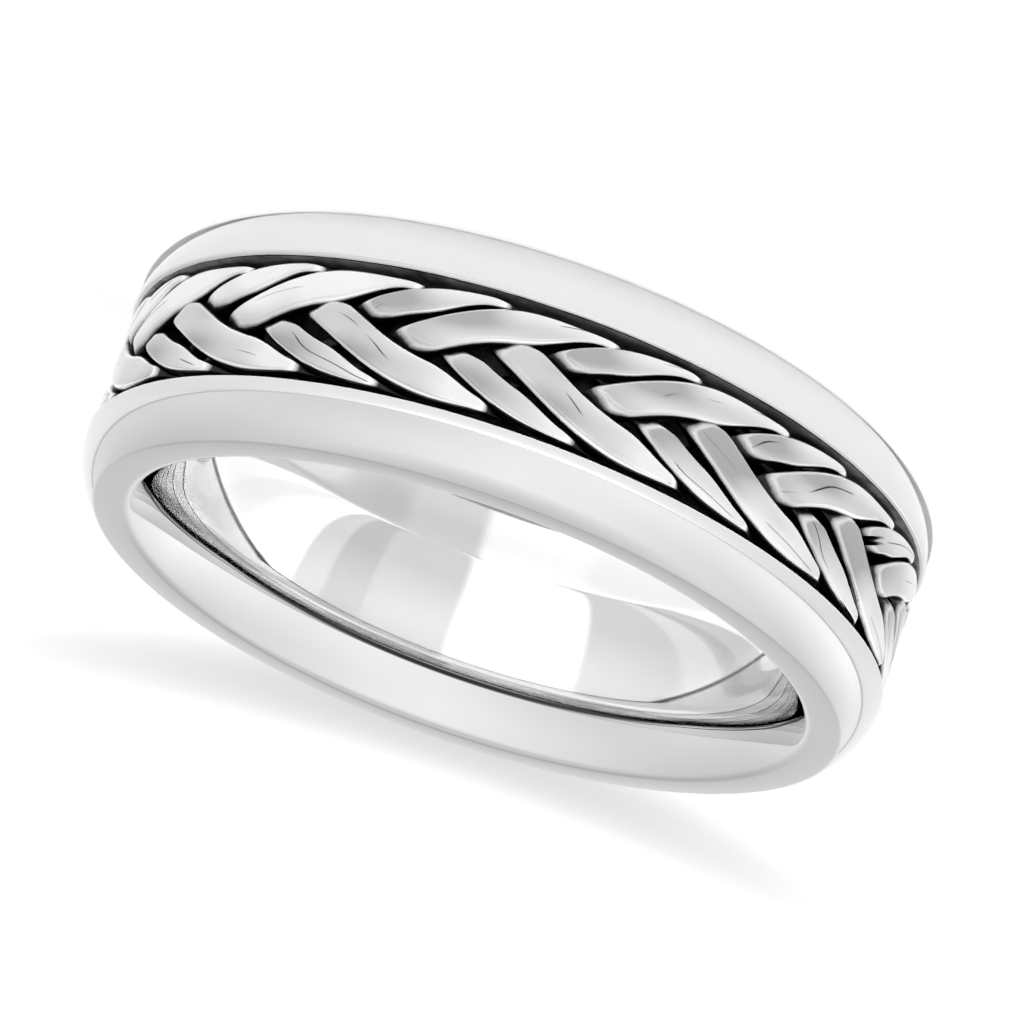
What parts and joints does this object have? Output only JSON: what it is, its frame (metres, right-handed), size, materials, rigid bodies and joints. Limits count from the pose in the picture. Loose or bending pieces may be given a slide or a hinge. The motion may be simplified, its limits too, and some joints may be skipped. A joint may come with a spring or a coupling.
{
  "type": "braided band ring",
  "caption": "Finger ring: a comfort-fit band with two domed rails and a flat braid of double wires set in the dark channel between them.",
  "frame": {"origin": "centre of the side face that the ring rests on", "axes": "+Z along the finger's axis, upwards from the rail that the ring lies on; the picture's front faces -Y and the braid's seam is at +Y"},
  "size_m": [0.024, 0.024, 0.0072],
  "materials": {
    "band": "mirror-polished silver, oxidised black in the channel",
    "braid": "burnished silver, dark between the wires"
  },
  "bodies": {
    "root": {"band": "band", "strand_1a": "braid", "strand_1b": "braid", "strand_2a": "braid", "strand_2b": "braid", "strand_3a": "braid", "strand_3b": "braid"}
  },
  "joints": []
}
